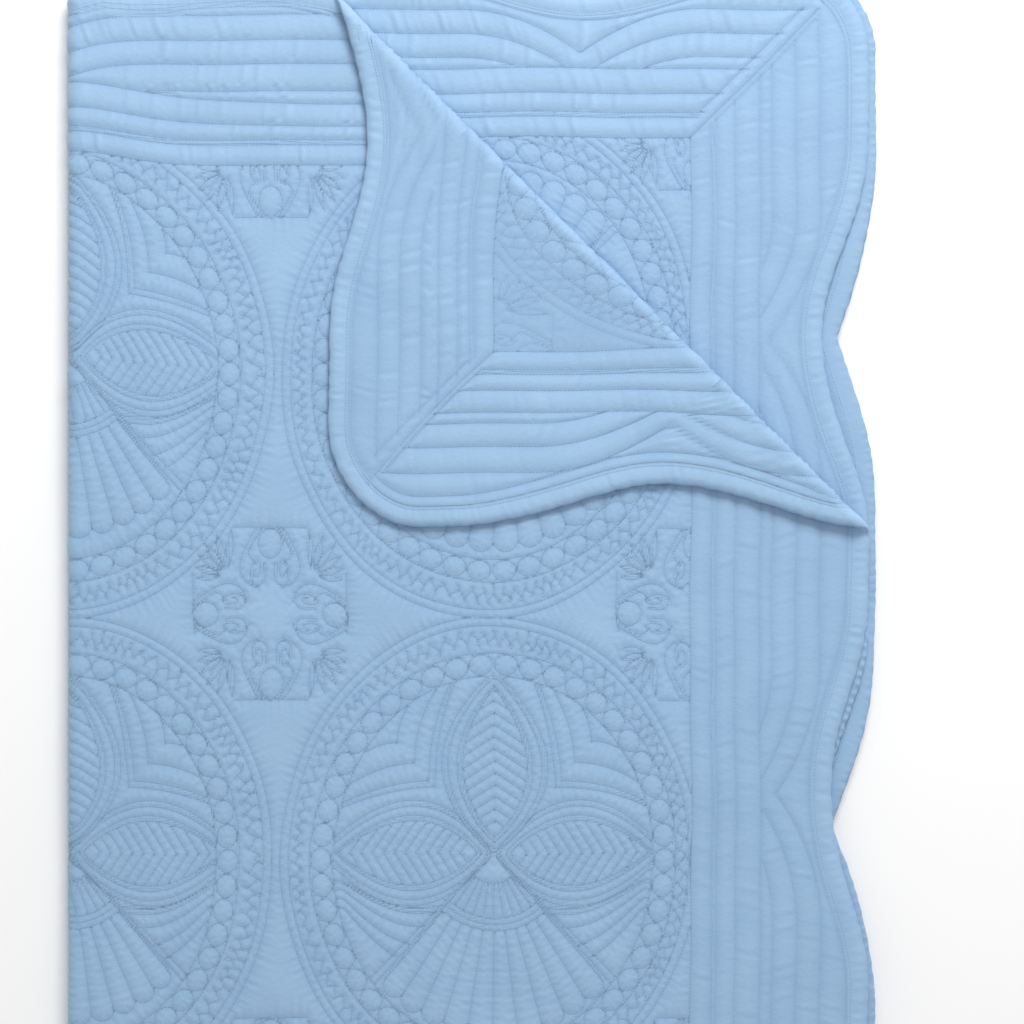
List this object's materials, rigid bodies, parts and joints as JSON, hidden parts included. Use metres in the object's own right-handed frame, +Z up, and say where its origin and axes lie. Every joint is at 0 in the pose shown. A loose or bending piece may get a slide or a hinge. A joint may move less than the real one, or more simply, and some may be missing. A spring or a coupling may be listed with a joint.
{
  "type": "baby quilt",
  "caption": "Baby quilt with a scalloped edge, folded in quarters and laid flat, its top corner turned back over a diagonal crease.",
  "frame": {"origin": "middle of the folded quilt's footprint, on the surface it lies on", "axes": "+Z up from the surface, +Y towards the open end with the turned-back corner, +X towards the scalloped long side, away from the lengthways fold"},
  "size_m": [0.4632, 0.6481, 0.0213],
  "materials": {
    "cloth": "washed pale blue cotton, hand quilted, matt",
    "edge_cloth": "pale blue cotton band, two rows of topstitch"
  },
  "bodies": {
    "root": {"centre_panel": "cloth", "border_top": "cloth", "border_right": "cloth", "border_bottom": "cloth", "border_left": "cloth", "edge_binding": "edge_cloth"}
  },
  "joints": []
}
